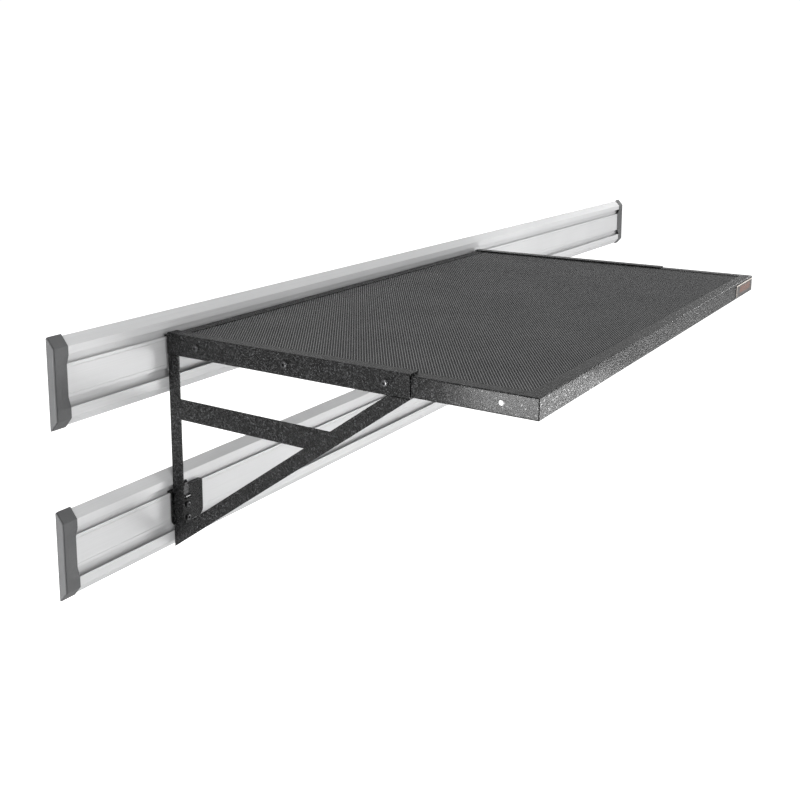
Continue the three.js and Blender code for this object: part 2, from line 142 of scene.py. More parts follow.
# Fasteners: radius of the shank and of the head, height of the head and length under it.
TRAY_BOLT = (4.0, 7.0, 4.0, 13.0)
HOOK_BOLT = (3.0, 6.0, 3.6, 6.1)
TRAY_NUT = (13.0, 6.0, 4.1)  # across its flats, height and radius of its bore
NUT_CHAMFER = 0.6  # height of a corner's chamfer, as a share of how far the corner stands out
HEAD_RIM = (0.25, 0.35)  # width and height of the chamfer under a head
THREAD_PITCH = 1.25
THREAD_ROOT = 0.86  # radius at the bottom of a thread, as a share of the shank's
SOCKET = 0.42  # radius of a bolt's hexagon socket, as a share of its head's
DOME_STEPS = 8
DOME_TOP = 0.6  # radius where a bolt head's dome starts, as a share of its head's
DOME_POWER = 1.2  # 1 would make the dome part of an ellipse, and more makes it lower
SOCKET_FLOOR = 0.35  # height of the socket's floor, as a share of the head's
THREAD_START = 1.5
TIP = (0.6, 0.8)  # length of the tapered tip, and its end's radius as a share of the shank's

# Brackets: weld beads and the seams ground flush between their bars.
DIAGONAL_WIDTH = 25.0
WELD_RADIUS = 1.5
WELD_PITCH = 1.7
WELD_RIPPLE = 0.16
WELD_SIDES = 12
RIPPLE_STEPS = 4  # rings in one ripple
END_TAPER = (0.15, 6)  # a bead's thickness at its end, and how fast it grows from there
WELD_STOP = 4.0  # how far a bead stops short of a bar's edge
SIDE_WELD = (14.0, 24.0)  # the diagonal's bead: start over its foot, and length
TOP_WELD = (8.0, 30.0)  # the diagonal's bead under the channel: start and length
UPRIGHT_WELD = (3.0, 22.0)  # the upright's bead under the channel: start and end
SEAM_WIDTH = 0.9
SEAM_PROUD = 0.04
SEAM_START = 1.0  # how far over the diagonal's foot its seam starts
BAR_GAP = 0.3  # between the upright and the bars that meet it
BRACE_GAP = 0.45  # between the cross brace and the diagonal, along the cross brace

# Edges of the nodes that are shown as they are.
BAR_EDGE = 0.2
LATCH_EDGE = 0.2
STIFFENER_EDGE = 0.3
STRIP_EDGE = 0.05
SCREW_EDGE = 0.15
MERGE_DISTANCE = 0.01
FLAT_ANGLE = math.radians(0.5)

# Floor, light and camera, in metres. The camera's place, turn and lens were fitted to the outline
# of the rails, the tray and the brackets.
FLOOR_DROP = 0.75  # how far under the object the floor lies
FLOOR_SIZE = 60.0
CAMERA_PLACE = (-2.2967, -1.3421, 0.4675)
CAMERA_YAW = math.radians(57.291)
CAMERA_PITCH = math.radians(-9.137)
CAMERA_LENS = 46.504  # in millimetres, as is the sensor's width
CAMERA_SENSOR = 36.0
CAMERA_SHIFT = (0.0, -0.1796)
FLOOR_GLOW = 0.8  # how much the floor is brightened where the camera sees it
HORIZON_LIGHT = 0.7
ZENITH_LIGHT = 0.85
SIDE_LIGHT = (1.15, 0.75)  # share of the surround's light from the left and from the right
SURROUND_SEEN = 1.05  # how bright the surround looks to the camera
# Soft boxes: where each stands, what it points at, its two sides and its power in watts.
LAMPS = [
    {"place": (-1.8, -4.0, 0.9), "at": (-0.4, -0.2, 0.0), "size": (2.4, 1.6), "power": 32},
    {"place": (0.5, -1.55, -0.64), "at": (-0.95, -0.75, 0.0), "size": (0.7, 0.5), "power": 12},
    {"place": (-3.2, 0.3, -0.66), "at": (-1.0, -0.7, 0.0), "size": (0.5, 0.4), "power": 38},
    {"place": (-4.5, 0.6, 0.8), "at": (-1.2, 0.0, 0.0), "size": (1.5, 1.5), "power": 40},
    {"place": (3.6, -1.0, 0.9), "at": (0.0, -0.7, 0.0), "size": (0.9, 0.7), "power": 20},
    {"place": (-3.6, -0.2, 1.0), "at": (-1.0, -0.3, 0.0), "size": (0.3, 0.3), "power": 9},
    {"place": (2.2, -3.4, 0.2), "at": (1.0, 0.0, 0.0), "size": (1.6, 1.6), "power": 30},
]


# ---- materials ---------------------------------------------------------------------------------

def new_material(name, **inputs):
    """A Principled material, its node tree and its shader, with constants on the shader itself."""
    material = bpy.data.materials.new(name)
    material.use_nodes = True
    tree = material.node_tree
    shader = tree.nodes["Principled BSDF"]
    for socket, value in inputs.items():
        shader.inputs[socket.replace("_", " ")].default_value = value
    return material, tree, shader


def place(tree, stretch=(1, 1, 1)):
    """Object coordinates, in metres, stretched along an axis for brushed or drawn surfaces."""
    coordinates = tree.nodes.new("ShaderNodeTexCoord")
    mapping = tree.nodes.new("ShaderNodeMapping")
    mapping.inputs["Scale"].default_value = stretch
    tree.links.new(coordinates.outputs["Object"], mapping.inputs["Vector"])
    return mapping.outputs["Vector"]


def noise(tree, size, detail=3.0, stretch=(1, 1, 1)):
    """Noise with features of about size metres."""
    node = tree.nodes.new("ShaderNodeTexNoise")
    node.inputs["Scale"].default_value = 1 / size
    node.inputs["Detail"].default_value = detail
    tree.links.new(place(tree, stretch), node.inputs["Vector"])
    return node.outputs["Fac"]


def cells(tree, size, output="Distance"):
    """Voronoi cells of about size metres."""
    node = tree.nodes.new("ShaderNodeTexVoronoi")
    node.inputs["Scale"].default_value = 1 / size
    tree.links.new(place(tree), node.inputs["Vector"])
    return node.outputs[output]


def ramp(tree, factor, *stops):
    node = tree.nodes.new("ShaderNodeValToRGB")
    elements = node.color_ramp.elements
    while len(elements) < len(stops):
        elements.new(0.5)
    for element, (position, value) in zip(elements, stops):
        element.position = position
        element.color = (*value, 1) if isinstance(value, tuple) else (value, value, value, 1)
    tree.links.new(factor, node.inputs["Fac"])
    return node.outputs["Color"]


def multiply(tree, a, b):
    node = tree.nodes.new("ShaderNodeMix")
    node.data_type = "RGBA"
    node.blend_type = "MULTIPLY"
    node.inputs["Factor"].default_value = 1
    tree.links.new(a, node.inputs["A"])
    tree.links.new(b, node.inputs["B"])
    return node.outputs["Result"]


def bump(tree, height, depth, under=None):
    """A bump of depth metres over the height, on top of another bump."""
    node = tree.nodes.new("ShaderNodeBump")
    node.inputs["Distance"].default_value = depth
    tree.links.new(height, node.inputs["Height"])
    if under is not None:
        tree.links.new(under, node.inputs["Normal"])
    return node.outputs["Normal"]


def paint(tree, shader, colour, roughness, normal):
    tree.links.new(colour, shader.inputs["Base Color"])
    tree.links.new(roughness, shader.inputs["Roughness"])
    tree.links.new(normal, shader.inputs["Normal"])


def hammertone_paint():
    """Charcoal enamel that dries into small raised islands, with painted shade darkening the low valleys
    between them.
    """
    material, tree, shader = new_material(
        "hammertone", Metallic=0.1, Specular_IOR_Level=0.22, Coat_Weight=0.1, Coat_Roughness=0.16)
    # the islands' height, which also darkens the colour towards the low valleys between them as painted
    # shade
    island_height_and_shade = ramp(tree, cells(tree, 0.0032), (0.12, 1.0), (0.5, 0.5), (0.78, 0.06))
    fleck = ramp(tree, cells(tree, 0.0022, "Color"), (0.4, 0.2), (0.64, 0.5), (0.8, 6.6))
    cloud = ramp(tree, noise(tree, 0.09), (0.3, (0.0085, 0.0087, 0.009)), (0.7, (0.0113, 0.0116, 0.012)))
    colour = multiply(tree, multiply(tree, cloud, fleck), island_height_and_shade)
    roughness = ramp(tree, noise(tree, 0.012), (0.3, 0.20), (0.7, 0.30))
    fine = bump(tree, noise(tree, 0.0011, 2), 0.00004)
    paint(tree, shader, colour, roughness, bump(tree, island_height_and_shade, 0.0013, fine))
    return material


def deck_paint(name, dark, light, gloss=0.5):
    """Plain satin charcoal enamel, a little uneven in colour, with dust-sized grain."""
    material, tree, shader = new_material(name, Specular_IOR_Level=gloss)
    tone = ramp(tree, noise(tree, 0.12), (0.3, dark), (0.7, light))
    grain = ramp(tree, noise(tree, 0.0016), (0.35, 0.82), (0.65, 1.0))
    roughness = ramp(tree, noise(tree, 0.02), (0.3, 0.48), (0.7, 0.6))
    paint(tree, shader, multiply(tree, tone, grain), roughness, bump(tree, grain, 0.00003))
    return material


def silver_rail():
    """Satin anodised aluminium with faint drawing lines along the rail."""
    material, tree, shader = new_material("satin_silver", Metallic=0.1)
    lines = noise(tree, 0.0022, 4, (0.012, 1, 1))
    tone = ramp(tree, noise(tree, 0.25, 2), (0.3, (0.585, 0.588, 0.593)), (0.7, (0.630, 0.632, 0.636)))
    streak = ramp(tree, lines, (0.3, 0.94), (0.7, 1.0))
    roughness = ramp(tree, lines, (0.3, 0.42), (0.7, 0.54))
    paint(tree, shader, multiply(tree, tone, streak), roughness, bump(tree, lines, 0.00002))
    return material


def grey_plastic():
    """Moulded grey plastic with a fine spark-eroded grain."""
    material, tree, shader = new_material("moulded_grey", Specular_IOR_Level=0.4)
    tone = ramp(tree, noise(tree, 0.03), (0.3, (0.092, 0.093, 0.095)), (0.7, (0.106, 0.107, 0.109)))
    grain = cells(tree, 0.0008)
    speck = ramp(tree, grain, (0.1, 0.9), (0.6, 1.0))
    roughness = ramp(tree, noise(tree, 0.004), (0.3, 0.5), (0.7, 0.62))
    paint(tree, shader, multiply(tree, tone, speck), roughness, bump(tree, grain, 0.00005))
    return material


def metal(name, dark, light, gloss, matt, spangle, **inputs):
    """Plated or blackened steel with soft patches of tone and gloss."""
    material, tree, shader = new_material(name, **inputs)
    tone = ramp(tree, cells(tree, spangle, "Color"), (0.2, dark), (0.8, light))
    wear = noise(tree, spangle * 1.5)
    roughness = ramp(tree, wear, (0.3, gloss), (0.7, matt))
    paint(tree, shader, tone, roughness, bump(tree, wear, 0.00003))
    return material


def printed_foil(name, dark, light):
    """One colour of a printed foil, with the slight mottling of its ink."""
    material, tree, shader = new_material(name, Coat_Weight=0.3, Coat_Roughness=0.15)
    ink = noise(tree, 0.0015)
    roughness = ramp(tree, noise(tree, 0.006), (0.3, 0.3), (0.7, 0.42))
    paint(tree, shader, ramp(tree, ink, (0.3, dark), (0.7, light)), roughness, bump(tree, ink, 0.00002))
    return material


HAMMERTONE = hammertone_paint()
DECK = deck_paint("deck_enamel", (0.220, 0.221, 0.223), (0.256, 0.257, 0.259))
# near-black paint for the pockets' walls and floors: painted shade inside the deck's pockets
DECK_POCKET_SHADE = deck_paint("deck_pocket_shade", (0.010, 0.010, 0.011), (0.015, 0.015, 0.016), 0.1)
SILVER = silver_rail()
PLASTIC = grey_plastic()
ZINC = metal("zinc_plate", (0.55, 0.56, 0.58), (0.72, 0.73, 0.74), 0.28, 0.42, 0.003,
             Metallic=1.0)
BLACK = metal("black_oxide", (0.008, 0.008, 0.009), (0.018, 0.018, 0.020), 0.2, 0.34, 0.002,
              Metallic=0.5, Coat_Weight=1.0, Coat_Roughness=0.05)
FOIL = printed_foil("label_field", (0.030, 0.026, 0.024), (0.048, 0.040, 0.036))
CREAM = printed_foil("label_rim", (0.60, 0.54, 0.48), (0.72, 0.66, 0.60))
BROWN = printed_foil("label_lines", (0.13, 0.045, 0.022), (0.20, 0.070, 0.036))


# ---- mesh helpers ------------------------------------------------------------------------------

def rounded(points, steps=4):
    """A closed outline with each (a, b, radius) corner turned into an arc."""
    outline = []
    for i, (a, b, radius) in enumerate(points):
        corner = Vector((a, b))
        before = Vector(points[i - 1][:2]) - corner
        after = Vector(points[(i + 1) % len(points)][:2]) - corner
        if radius <= 0:
            outline.append((a, b))
            continue
        half = before.angle(after) / 2
        reach = min(radius / math.tan(half), MOST_OF_SIDE * before.length, MOST_OF_SIDE * after.length)
        centre = corner + (before.normalized() + after.normalized()).normalized() * (reach / math.cos(half))
        start = corner + before.normalized() * reach - centre
        end = corner + after.normalized() * reach - centre
        turn = math.pi - 2 * half
        if start.cross(end) < 0:
            turn = -turn
        for k in range(steps + 1):
            outline.append(tuple(centre + Matrix.Rotation(turn * k / steps, 2) @ start))
    return outline


def along_x(a, b, t):
    return (t, a, b)


def along_y(a, b, t):
    return (a, t, b)


def along_z(a, b, t):
    return (a, b, t)


def prism(outline, low, high, axis):
    """Vertices and faces of an outline run from low to high along an axis."""
    count = len(outline)
    verts = [axis(a, b, t) for t in (low, high) for a, b in outline]
    faces = [(i, (i + 1) % count, count + (i + 1) % count, count + i) for i in range(count)]
    return verts, faces + [tuple(range(count)), tuple(range(count, 2 * count))]


def circle(radius, centre=(0, 0), sides=32):
    angles = [TURN * k / sides for k in range(sides)]
    return [(centre[0] + radius * math.cos(t), centre[1] + radius * math.sin(t)) for t in angles]


def lathe(profile, sides=40):
    """A closed body turned about the Y axis from (radius, y) points that start and end on it."""
    middle = profile[1:-1]
    verts = [(r * math.cos(TURN * k / sides), y, r * math.sin(TURN * k / sides))
             for r, y in middle for k in range(sides)]
    first, last = len(verts), len(verts) + 1
    verts += [(0, profile[0][1], 0), (0, profile[-1][1], 0)]
    faces = []
    for row in range(len(middle) - 1):
        for k in range(sides):
            n = (k + 1) % sides
            faces.append((row * sides + k, row * sides + n, (row + 1) * sides + n, (row + 1) * sides + k))
    end = (len(middle) - 1) * sides
    for k in range(sides):
        n = (k + 1) % sides
        faces.append((first, n, k))
        faces.append((last, end + k, end + n))
    return verts, faces


def moved(shape, offset, mirror=1):
    verts, faces = shape
    return [(mirror * x + offset[0], y + offset[1], z + offset[2]) for x, y, z in verts], faces


def together(*shapes):
    verts, faces = [], []
    for points, sides in shapes:
        start = len(verts)
        verts += points
        faces += [tuple(start + i for i in side) for side in sides]
    return verts, faces


def mesh_of(name, shape):
    """A Blender mesh in metres, welded, with its faces turned outwards."""
    mesh = bpy.data.meshes.new(name)
    mesh.from_pydata([tuple(c * MM for c in v) for v in shape[0]], [], shape[1])
    work = bmesh.new()
    work.from_mesh(mesh)
    bmesh.ops.remove_doubles(work, verts=work.verts, dist=SAME_PLACE * MM)
    bmesh.ops.recalc_face_normals(work, faces=work.faces)
    work.to_mesh(mesh)
    work.free()
    return mesh


def carved(mesh, tools, operation="DIFFERENCE"):
    """The mesh after a boolean with each tool shape."""
    body = bpy.data.objects.new("body", mesh)
    cutter = bpy.data.objects.new("cutter", mesh_of("cutter", together(*tools)))
    for item in (body, cutter):
        bpy.context.scene.collection.objects.link(item)
    modifier = body.modifiers.new("cut", "BOOLEAN")
    modifier.operation = operation
    modifier.solver = "MANIFOLD"
    modifier.object = cutter
    evaluated = body.evaluated_get(bpy.context.evaluated_depsgraph_get())
    result = bpy.data.meshes.new_from_object(evaluated)
    for item in (body, cutter):
        bpy.data.objects.remove(item)
    return result


def shade(mesh):
    mesh.polygons.foreach_set("use_smooth", [True] * len(mesh.polygons))
    mesh.set_sharp_from_angle(angle=SMOOTH_ANGLE)


def round_edges(piece, width, segments=3):
    modifier = piece.modifiers.new("edges", "BEVEL")
    modifier.width = width * MM
    modifier.segments = segments
    modifier.limit_method = "ANGLE"
    modifier.angle_limit = SMOOTH_ANGLE
    modifier.harden_normals = True


def level_flats(piece):
    """Shade each flat face as a true plane, with the turn kept in its bends."""
    modifier = piece.modifiers.new("level", "WEIGHTED_NORMAL")
    modifier.keep_sharp = True


def piece(name, mesh, material, slot, body, nodes=(), edge=0.0):
    """A shown piece that rides on a CAD body and stands for CAD nodes, with its edges eased and, on
    the rails and on painted sheet, its flats shaded level."""
    made = bpy.data.objects.new(name, mesh)
    bpy.context.scene.collection.objects.link(made)
    mesh.materials.clear()
    mesh.materials.append(material)
    shade(mesh)
    if edge:
        round_edges(made, edge)
    if body == "wall_rails" or material is HAMMERTONE:
        level_flats(made)
    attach(made, body)
    if nodes:
        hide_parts(*nodes)
    return made


# ---- places from the frame -----------------------------------------------------------------------

def millimetres(node):
    low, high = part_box(node)
    return low / MM, high / MM


CHANNEL_TOP = millimetres("left_side_channel")[1].z
tray_low, tray_high = millimetres("tray_frame")
deck_low, deck_high = millimetres("deck_panel")
BOLT_PLACES = [sum(c.y for c in millimetres(f"left_tray_bolt_{i}")) / 2 for i in (1, 2, 3)]


# ---- wall rails ----------------------------------------------------------------------------------

def rail_section():
    inner = RAIL_DEPTH - RAIL_WALL
    slope = CHAMFER / RAIL_DEPTH
    lip = PANEL_DEPTH - RAIL_WALL
    crown = RAIL_WALL * math.hypot(CHAMFER, RAIL_DEPTH) / RAIL_DEPTH
    under_top = RAIL_WALL * slope + crown
    inner_chamfer = inner * slope + crown
    web = PANEL_START + LIP_HEIGHT
    upper = [
        (0, 0, LIP_RADIUS), (RAIL_DEPTH, CHAMFER, BEAD_RADIUS), (RAIL_DEPTH, UPPER_BEAD_END, LIP_RADIUS),
        (inner, UPPER_BEAD_END, LIP_RADIUS), (inner, inner_chamfer, LIP_RADIUS),
        (RAIL_WALL, under_top, LIP_RADIUS), (RAIL_WALL, web, LIP_RADIUS), (lip, web, LIP_RADIUS),
        (lip, PANEL_START, LIP_RADIUS), (PANEL_DEPTH, PANEL_START, LIP_RADIUS),
        (PANEL_DEPTH, web + LEDGE, 0), (lip, web + LEDGE, 0), (lip, web + WEB, 0),
        (RAIL_WALL, web + WEB, 0)]
    low_web = PANEL_END - LIP_HEIGHT
    lower = [
        (RAIL_WALL, low_web - WEB, 0), (lip, low_web - WEB, 0), (lip, low_web - LEDGE, 0),
        (PANEL_DEPTH, low_web - LEDGE, 0), (PANEL_DEPTH, PANEL_END, LIP_RADIUS),
        (lip, PANEL_END, LIP_RADIUS), (lip, low_web, LIP_RADIUS), (RAIL_WALL, low_web, LIP_RADIUS),
        (RAIL_WALL, RAIL_HEIGHT - under_top, LIP_RADIUS), (inner, RAIL_HEIGHT - inner_chamfer, LIP_RADIUS),
        (inner, LOWER_BEAD_START, LIP_RADIUS), (RAIL_DEPTH, LOWER_BEAD_START, LIP_RADIUS),
        (RAIL_DEPTH, RAIL_HEIGHT - CHAMFER, BEAD_RADIUS), (0, RAIL_HEIGHT, LIP_RADIUS)]
    return upper + lower


def in_wall_plane(points, top):
    """(out, down, radius) points as an outline in the YZ plane."""
    return rounded([(-out, top - down, radius) for out, down, radius in points])


def add_rail(prefix):
    low, high = millimetres(prefix + "_rail")
    bar = prism(in_wall_plane(rail_section(), high.z), low.x, high.x, along_x)
    screws = [millimetres(f"{prefix}_wall_screw_{i}") for i in range(1, SCREWS_A_RAIL + 1)]
    middles = [(a + b) / 2 for a, b in screws]
    holes = [prism(circle(SCREW_HOLE, (m.x, m.z), 20), -RAIL_WALL - PAST, PAST, along_y) for m in middles]
    mesh = carved(mesh_of(prefix + "_rail_bar", bar), holes)
    piece(prefix + "_rail_bar", mesh, SILVER, "silver_rail", "wall_rails", [prefix + "_rail"])


def cap_outline(grow, panel_depth, radius):
    """The cap's dog-bone path from the wall round to the wall, as (out, down, radius)."""
    front = RAIL_DEPTH + grow
    rise = grow * math.hypot(CHAMFER, RAIL_DEPTH) / RAIL_DEPTH
    corner = front * CHAMFER / RAIL_DEPTH - rise
    return [
        (0, -rise, 0), (front, corner, radius), (front, UPPER_BEAD_END + grow, radius),
        (panel_depth, UPPER_BEAD_END + CAP_BLEND + grow, radius), (panel_depth, PANEL_END - grow, radius),
        (front, LOWER_BEAD_START - grow, radius), (front, RAIL_HEIGHT - corner, radius),
        (0, RAIL_HEIGHT + rise, 0)]


def cap_path(grow, panel_depth, top, radius):
    return in_wall_plane(cap_outline(grow, panel_depth, radius), top)


def cap_stations(left):
    """(place, growth over the rail, panel depth) from the cap's mouth to its end face."""
    mouth = left + CAP_LENGTH
    blend = CAP_LENGTH - CAP_MOUTH - CAP_STRAIGHT
    stations = [(mouth, CAP_SKIN - CAP_MOUTH, CAP_PANEL_DEPTH - CAP_MOUTH)]
    for k in range(BLEND_STEPS + 1):
        share = k / BLEND_STEPS
        ease = share * share * (3 - 2 * share)
        depth = CAP_PANEL_DEPTH + (CAP_FLAT - CAP_PANEL_DEPTH) * ease
        stations.append((mouth - CAP_MOUTH - blend * share, CAP_SKIN, depth))
    width, depth = CAP_GROOVE
    edge = left + CAP_ROUND + width
    for x, sink in ((edge, 0), (edge, depth), (edge - width, depth)):
        stations.append((x, CAP_SKIN - sink, CAP_FLAT - sink))
    for k in range(ROUND_STEPS + 1):
        angle = math.pi / 2 * k / ROUND_STEPS
        inset = CAP_ROUND * (1 - math.cos(angle))
        stations.append((left + CAP_ROUND * (1 - math.sin(angle)), CAP_SKIN - inset, CAP_FLAT - inset))
    return stations


def end_cap(left, top):
    """A sleeve over the rail's left end: its front is flat at the end and follows the rail at
    its mouth."""
    rings = [[(x, a, b) for a, b in cap_path(grow, depth, top, CAP_CORNER)]
             for x, grow, depth in cap_stations(left)]
    bore = [[(x, a, b) for a, b in cap_path(CAP_GAP, PANEL_DEPTH + CAP_GAP, top, BORE_CORNER)]
            for x in (left + CAP_LENGTH, left + CAP_END)]
    verts = [v for ring in rings + bore for v in ring]
    count = len(rings[0])
    starts = [i * count for i in range(len(rings) + 2)]
    faces = []
    for first, second in [*zip(starts[:len(rings) - 1], starts[1:len(rings)]), starts[-2:]]:
        faces += [(first + i, first + i + 1, second + i + 1, second + i) for i in range(count - 1)]
    outer_mouth, end = starts[0], starts[len(rings) - 1]
    inner_mouth, floor = starts[-2:]
    faces += [(outer_mouth + i, outer_mouth + i + 1, inner_mouth + i + 1, inner_mouth + i)
              for i in range(count - 1)]
    faces.append(tuple(range(end, end + count)))
    faces.append(tuple(range(floor, floor + count)))
    last = count - 1
    back = [starts[i] for i in range(len(rings))]
    faces.append((*back, *[i + last for i in reversed(back)], inner_mouth + last, floor + last, floor,
                  inner_mouth))
    return verts, faces


def add_caps(prefix):
    top = millimetres(prefix + "_rail")[1].z
    left = millimetres(prefix + "_left_end_cap")[0].x
    right = millimetres(prefix + "_right_end_cap")[1].x
    shape = end_cap(0, top)
    for side, x, mirror in (("left", left, 1), ("right", right, -1)):
        node = f"{prefix}_{side}_end_cap"
        mesh = mesh_of(node + "_moulding", moved(shape, (x, 0, 0), mirror))
        piece(node + "_moulding", mesh, PLASTIC, "grey_plastic", "wall_rails", [node])


# ---- shelf tray ----------------------------------------------------------------------------------

def mitred_ring(section, low, high, radius, steps=5):
    """A closed (inset, z) section run round a rectangle, with its outer corners rounded."""
    corners = [((low.x, low.y), (1, 1), 2), ((high.x, low.y), (-1, 1), 3),
               ((high.x, high.y), (-1, -1), 0), ((low.x, high.y), (1, -1), 1)]
    verts, faces = [], []
    around = len(corners) * (steps + 1)
    for inset, z in section:
        for (x, y), (sx, sy), quarter in corners:
            reach = max(radius - inset, 0)
            centre = (x + sx * (inset + reach), y + sy * (inset + reach))
            for k in range(steps + 1):
                angle = math.pi / 2 * (quarter + k / steps)
                verts.append((centre[0] + reach * math.cos(angle), centre[1] + reach * math.sin(angle), z))
    for row in range(len(section)):
        below = (row + 1) % len(section) * around
        for k in range(around):
            n = (k + 1) % around
            faces.append((row * around + k, row * around + n, below + n, below + k))
    return verts, faces


def tray_tools():
    """Bolt holes and one free hole in each side flange, and the seams of the folded corners."""
    tools = []
    z = CHANNEL_TOP + BOLT_Z
    free = 2 * BOLT_PLACES[2] - BOLT_PLACES[1]
    for x in (tray_low.x, tray_high.x):
        for y in BOLT_PLACES:
            tools.append(prism(circle(BOLT_HOLE, (y, z)), x - REACH, x + REACH, along_x))
        tools.append(prism(circle(FREE_HOLE, (free, z)), x - REACH, x + REACH, along_x))
    width, depth = CORNER_SEAM
    slot = [(-PAST, -width / 2), (depth, -width / 2), (depth, width / 2), (-PAST, width / 2)]
    for x, y in [(x, y) for x in (tray_low.x, tray_high.x) for y in (tray_low.y, tray_high.y)]:
        inward = math.atan2(1 if y == tray_low.y else -1, 1 if x == tray_low.x else -1)
        turned = [Matrix.Rotation(inward, 2) @ Vector(p) + Vector((x, y)) for p in slot]
        tools.append(prism([tuple(p) for p in turned], tray_low.z - PAST, tray_high.z - TRAY_BEND, along_z))
    return tools


def add_tray():
    top, bottom = tray_high.z, tray_low.z
    sheet, inner = TRAY_SHEET, TRAY_BEND - TRAY_SHEET + INNER_BEND
    section = rounded([
        (0, top, TRAY_BEND), (TRAY_BORDER, top, CUT_EDGE), (TRAY_BORDER, top - sheet, CUT_EDGE),
        (sheet, top - sheet, inner), (sheet, bottom + sheet, inner), (TRAY_HEM, bottom + sheet, CUT_EDGE),
        (TRAY_HEM, bottom, CUT_EDGE), (0, bottom, TRAY_BEND)])
    ring = mitred_ring(section, tray_low, tray_high, TRAY_CORNER)
    mesh = carved(mesh_of("tray_pan", ring), tray_tools())
    piece("tray_pan", mesh, HAMMERTONE, "hammertone_paint", "shelf", ["tray_frame"])


def deck_strip(columns, rows, x0, y0, all_columns):
    """Crossing strands round diamond pockets in a closed sheet, for one range of columns."""
    ux, uy = CELL_X / 2, CELL_Y / 2
    top, bottom = deck_high.z, deck_low.z
    opening = 1 - (STRAND / 2) * math.hypot(ux, uy) / (ux * uy)
    verts, faces, known = [], [], {}

    def node(i, j):
        """The strands' crossing at lattice point (i, j), as its top and bottom vertex."""
        if (i, j) not in known:
            known[i, j] = len(verts)
            x, y = x0 + i * ux, y0 + j * uy
            verts.extend([(x, y, top), (x, y, bottom)])
        return known[i, j]

    first, last = 2 * columns[0], 2 * columns[1]
    for i in range(first + 1, last + (columns[1] < all_columns)):
        for j in range(1, 2 * rows):
            if (i + j) % 2:
                continue
            around = [(i + 1, j), (i, j + 1), (i - 1, j), (i, j - 1)]
            outer = [node(a, b) for a, b in around]
            start = len(verts)
            for a, b in around:
                x, y = x0 + (i + (a - i) * opening) * ux, y0 + (j + (b - j) * opening) * uy
                verts.extend([(x, y, top), (x, y, bottom + DECK_BACK)])
            inner = [start + 2 * k for k in range(4)]
            for k in range(4):
                n = (k + 1) % 4
                faces.append((outer[k], outer[n], inner[n], inner[k]))
                faces.append((inner[k], inner[n], inner[n] + 1, inner[k] + 1))
            faces.append(tuple(k + 1 for k in inner))
            faces.append(tuple(k + 1 for k in reversed(outer)))
    return verts, faces


def add_deck():
    """The patterned deck, in strips, inside a solid margin that the tray's border covers."""
    window_low = tray_low.x + TRAY_BORDER - DECK_OVERLAP, tray_low.y + TRAY_BORDER - DECK_OVERLAP
    window_high = tray_high.x - TRAY_BORDER + DECK_OVERLAP, tray_high.y - TRAY_BORDER + DECK_OVERLAP
    columns = math.ceil((window_high[0] - window_low[0]) / CELL_X)
    rows = math.ceil((window_high[1] - window_low[1]) / CELL_Y)
    x0 = (window_low[0] + window_high[0] - columns * CELL_X) / 2
    y0 = (window_low[1] + window_high[1] - rows * CELL_Y) / 2
    cuts = [round(columns * k / DECK_STRIPS) for k in range(DECK_STRIPS + 1)]
    for k in range(DECK_STRIPS):
        strip = deck_strip((cuts[k], cuts[k + 1]), rows, x0, y0, columns)
        name = f"deck_mesh_{k + 1}"
        mesh = bpy.data.meshes.new(name)
        mesh.from_pydata([tuple(c * MM for c in v) for v in strip[0]], [], strip[1])
        piece(name, mesh, DECK, "deck_paint", "shelf", ["deck_panel"])
        # each pocket's walls and floor take the near-black paint, as painted shade in the pockets
        mesh.materials.append(DECK_POCKET_SHADE)
        pocket_shade_faces = [0, 1] * 4 + [1, 0]  # four strands and walls in turn, the pocket's floor, the back
        mesh.polygons.foreach_set("material_index", pocket_shade_faces * (len(mesh.polygons) // len(pocket_shade_faces)))
    add_deck_margin(x0 - deck_low.x + CELL_X / 2, y0 - deck_low.y + CELL_Y / 2)


def add_deck_margin(inset_x, inset_y):
    """A thin solid frame round the pockets, out to the deck's own edge."""
    outer = [(deck_low.x, deck_low.y), (deck_high.x, deck_low.y), (deck_high.x, deck_high.y),
             (deck_low.x, deck_high.y)]
    inner = [(deck_low.x + inset_x, deck_low.y + inset_y), (deck_high.x - inset_x, deck_low.y + inset_y),
             (deck_high.x - inset_x, deck_high.y - inset_y), (deck_low.x + inset_x, deck_high.y - inset_y)]
    verts = [(x, y, z) for z in (deck_high.z + MARGIN_PROUD, deck_low.z - MARGIN_PROUD)
             for x, y in outer + inner]
    faces = []
    for k in range(4):
        n = (k + 1) % 4
        faces += [(k, n, 4 + n, 4 + k), (8 + k, 8 + n, 12 + n, 12 + k), (k, n, 8 + n, 8 + k),
                  (4 + k, 4 + n, 12 + n, 12 + k)]
    mesh = mesh_of("deck_margin", (verts, faces))
    piece("deck_margin", mesh, DECK, "deck_paint", "shelf", ["deck_panel"])


